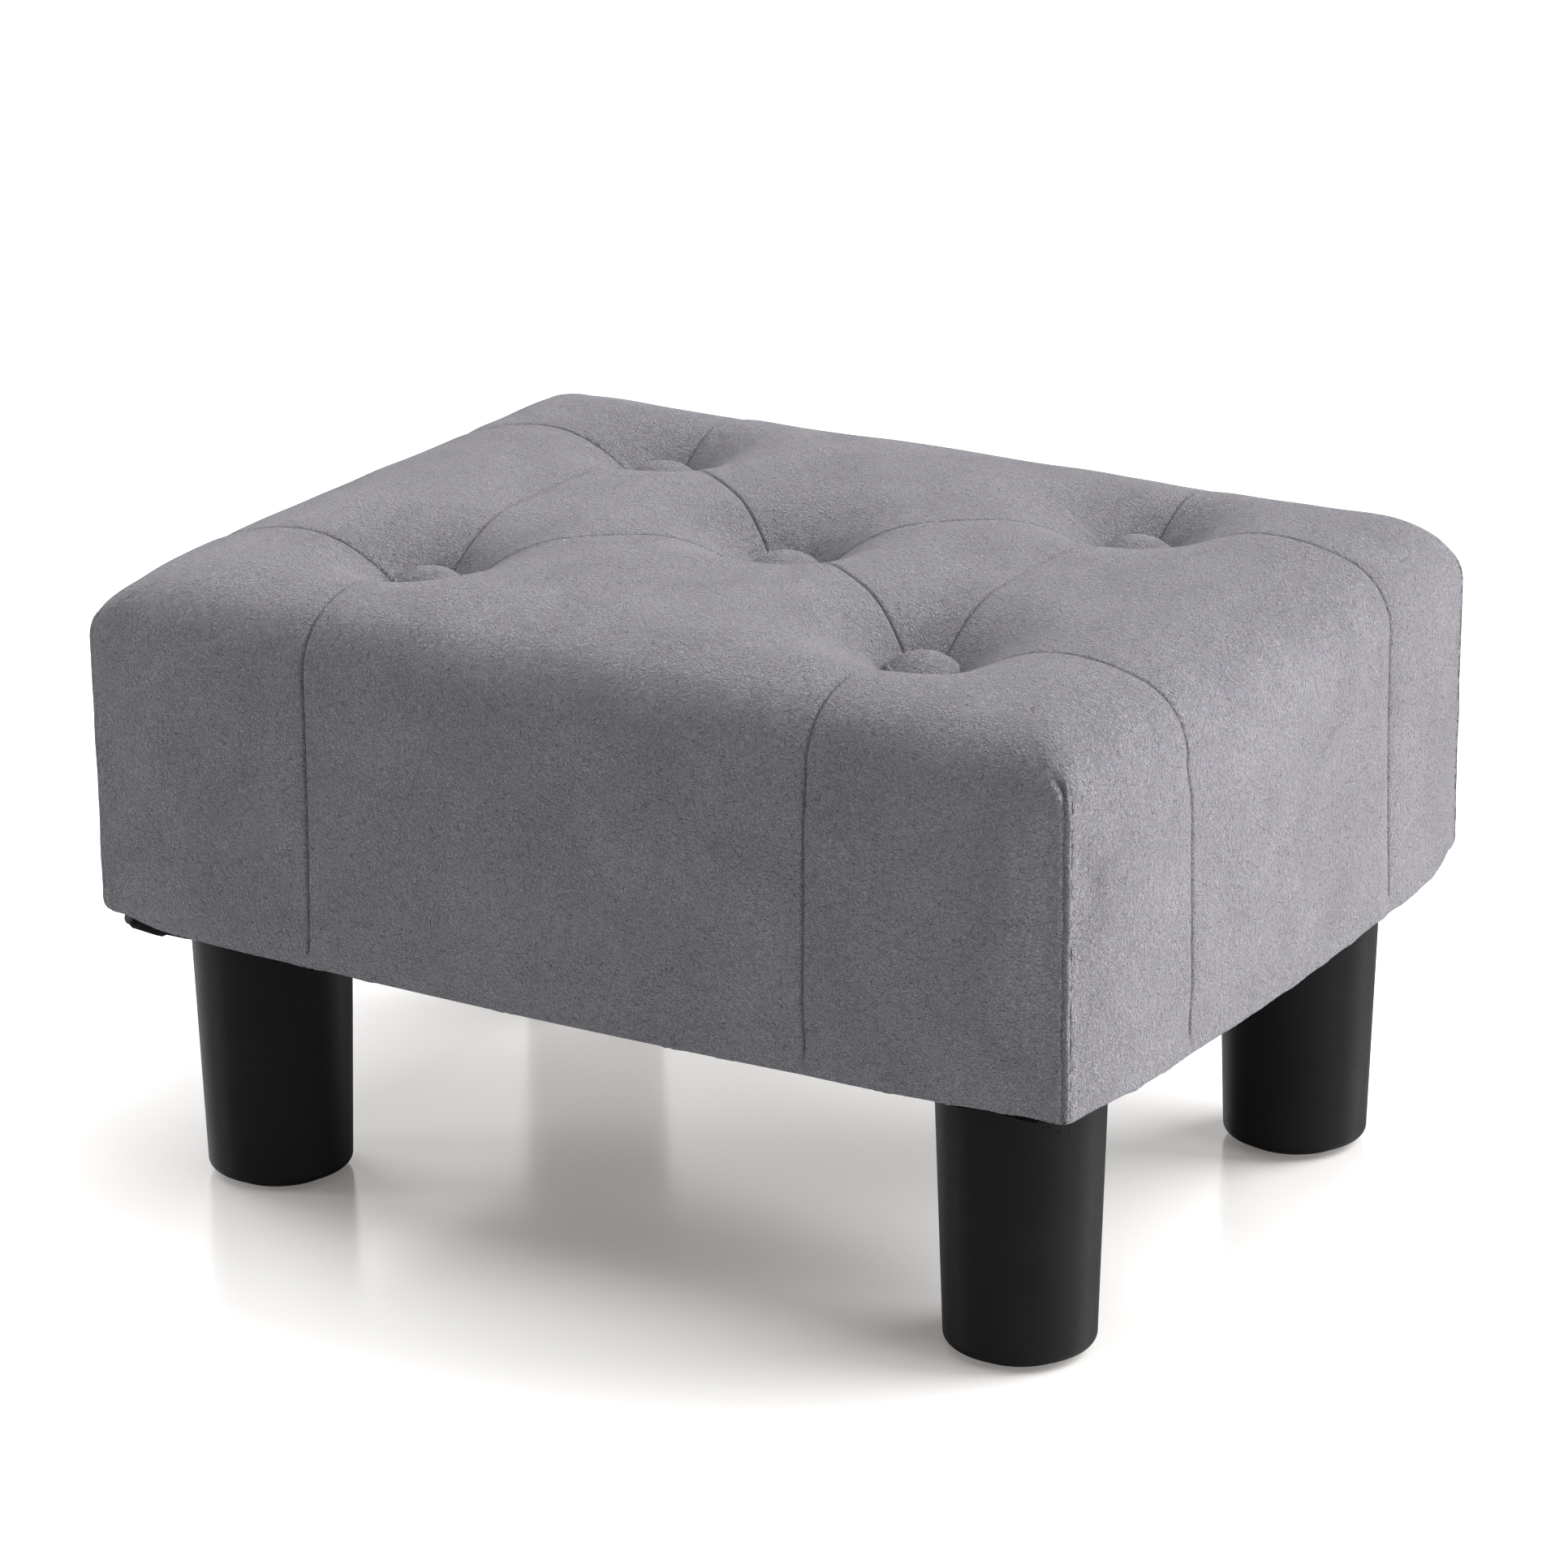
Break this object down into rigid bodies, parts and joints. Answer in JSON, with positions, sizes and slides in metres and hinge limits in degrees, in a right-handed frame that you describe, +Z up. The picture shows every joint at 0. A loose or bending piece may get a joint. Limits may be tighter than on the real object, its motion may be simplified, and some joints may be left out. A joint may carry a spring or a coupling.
{
  "type": "upholstered footstool",
  "caption": "Low oblong footstool with a padded velvet seat, sewn seams drawn down to covered buttons, and round tapered screw-in legs.",
  "frame": {"origin": "on the floor under the middle of the seat", "axes": "+X along the long side, +Y from front to back, +Z up"},
  "size_m": [0.402, 0.3116, 0.238],
  "materials": {
    "velvet": "cool grey short-pile velvet with a soft mottled nap",
    "leg_plastic": "black moulded plastic with a fine matte texture",
    "pad_rubber": "black non-slip rubber",
    "dust_cloth": "black non-woven lining cloth",
    "frame_wood": "bare softwood board",
    "deck_ply": "bare plywood",
    "foam": "cream upholstery foam",
    "wadding": "white polyester wadding",
    "screw_zinc": "yellow zinc plated steel",
    "fixing_zinc": "bright zinc plated steel",
    "staple_wire": "galvanised staple wire",
    "button_plastic": "moulded button shell with its wire eye",
    "twine": "waxed upholsterer's twine",
    "toggle_wood": "turned birch dowel"
  },
  "bodies": {
    "root": {"front_rail": "frame_wood", "back_rail": "frame_wood", "left_rail": "frame_wood", "right_rail": "frame_wood", "deck_board": "deck_ply", "frame_screws": "screw_zinc", "leg_plate_screws": "screw_zinc", "deck_screws": "screw_zinc", "foam_pad": "foam", "side_wadding": "wadding", "cover": "velvet", "cover_staples": "staple_wire", "dust_cover": "dust_cloth", "dust_cover_staples": "staple_wire", "leg_plate_front_left": "frame_wood", "tee_nut_front_left": "fixing_zinc", "leg_bolt_front_left": "fixing_zinc", "leg_front_left": "leg_plastic", "foot_pad_front_left": "pad_rubber", "leg_plate_front_right": "frame_wood", "tee_nut_front_right": "fixing_zinc", "leg_bolt_front_right": "fixing_zinc", "leg_front_right": "leg_plastic", "foot_pad_front_right": "pad_rubber", "leg_plate_back_left": "frame_wood", "tee_nut_back_left": "fixing_zinc", "leg_bolt_back_left": "fixing_zinc", "leg_back_left": "leg_plastic", "foot_pad_back_left": "pad_rubber", "leg_plate_back_right": "frame_wood", "tee_nut_back_right": "fixing_zinc", "leg_bolt_back_right": "fixing_zinc", "leg_back_right": "leg_plastic", "foot_pad_back_right": "pad_rubber", "button_cap_front_left": "velvet", "button_core_front_left": "button_plastic", "button_twine_front_left": "twine", "button_toggle_front_left": "toggle_wood", "button_cap_front_right": "velvet", "button_core_front_right": "button_plastic", "button_twine_front_right": "twine", "button_toggle_front_right": "toggle_wood", "button_cap_back_left": "velvet", "button_core_back_left": "button_plastic", "button_twine_back_left": "twine", "button_toggle_back_left": "toggle_wood", "button_cap_back_right": "velvet", "button_core_back_right": "button_plastic", "button_twine_back_right": "twine", "button_toggle_back_right": "toggle_wood", "button_cap_middle": "velvet", "button_core_middle": "button_plastic", "button_twine_middle": "twine", "button_toggle_middle": "toggle_wood"}
  },
  "joints": []
}
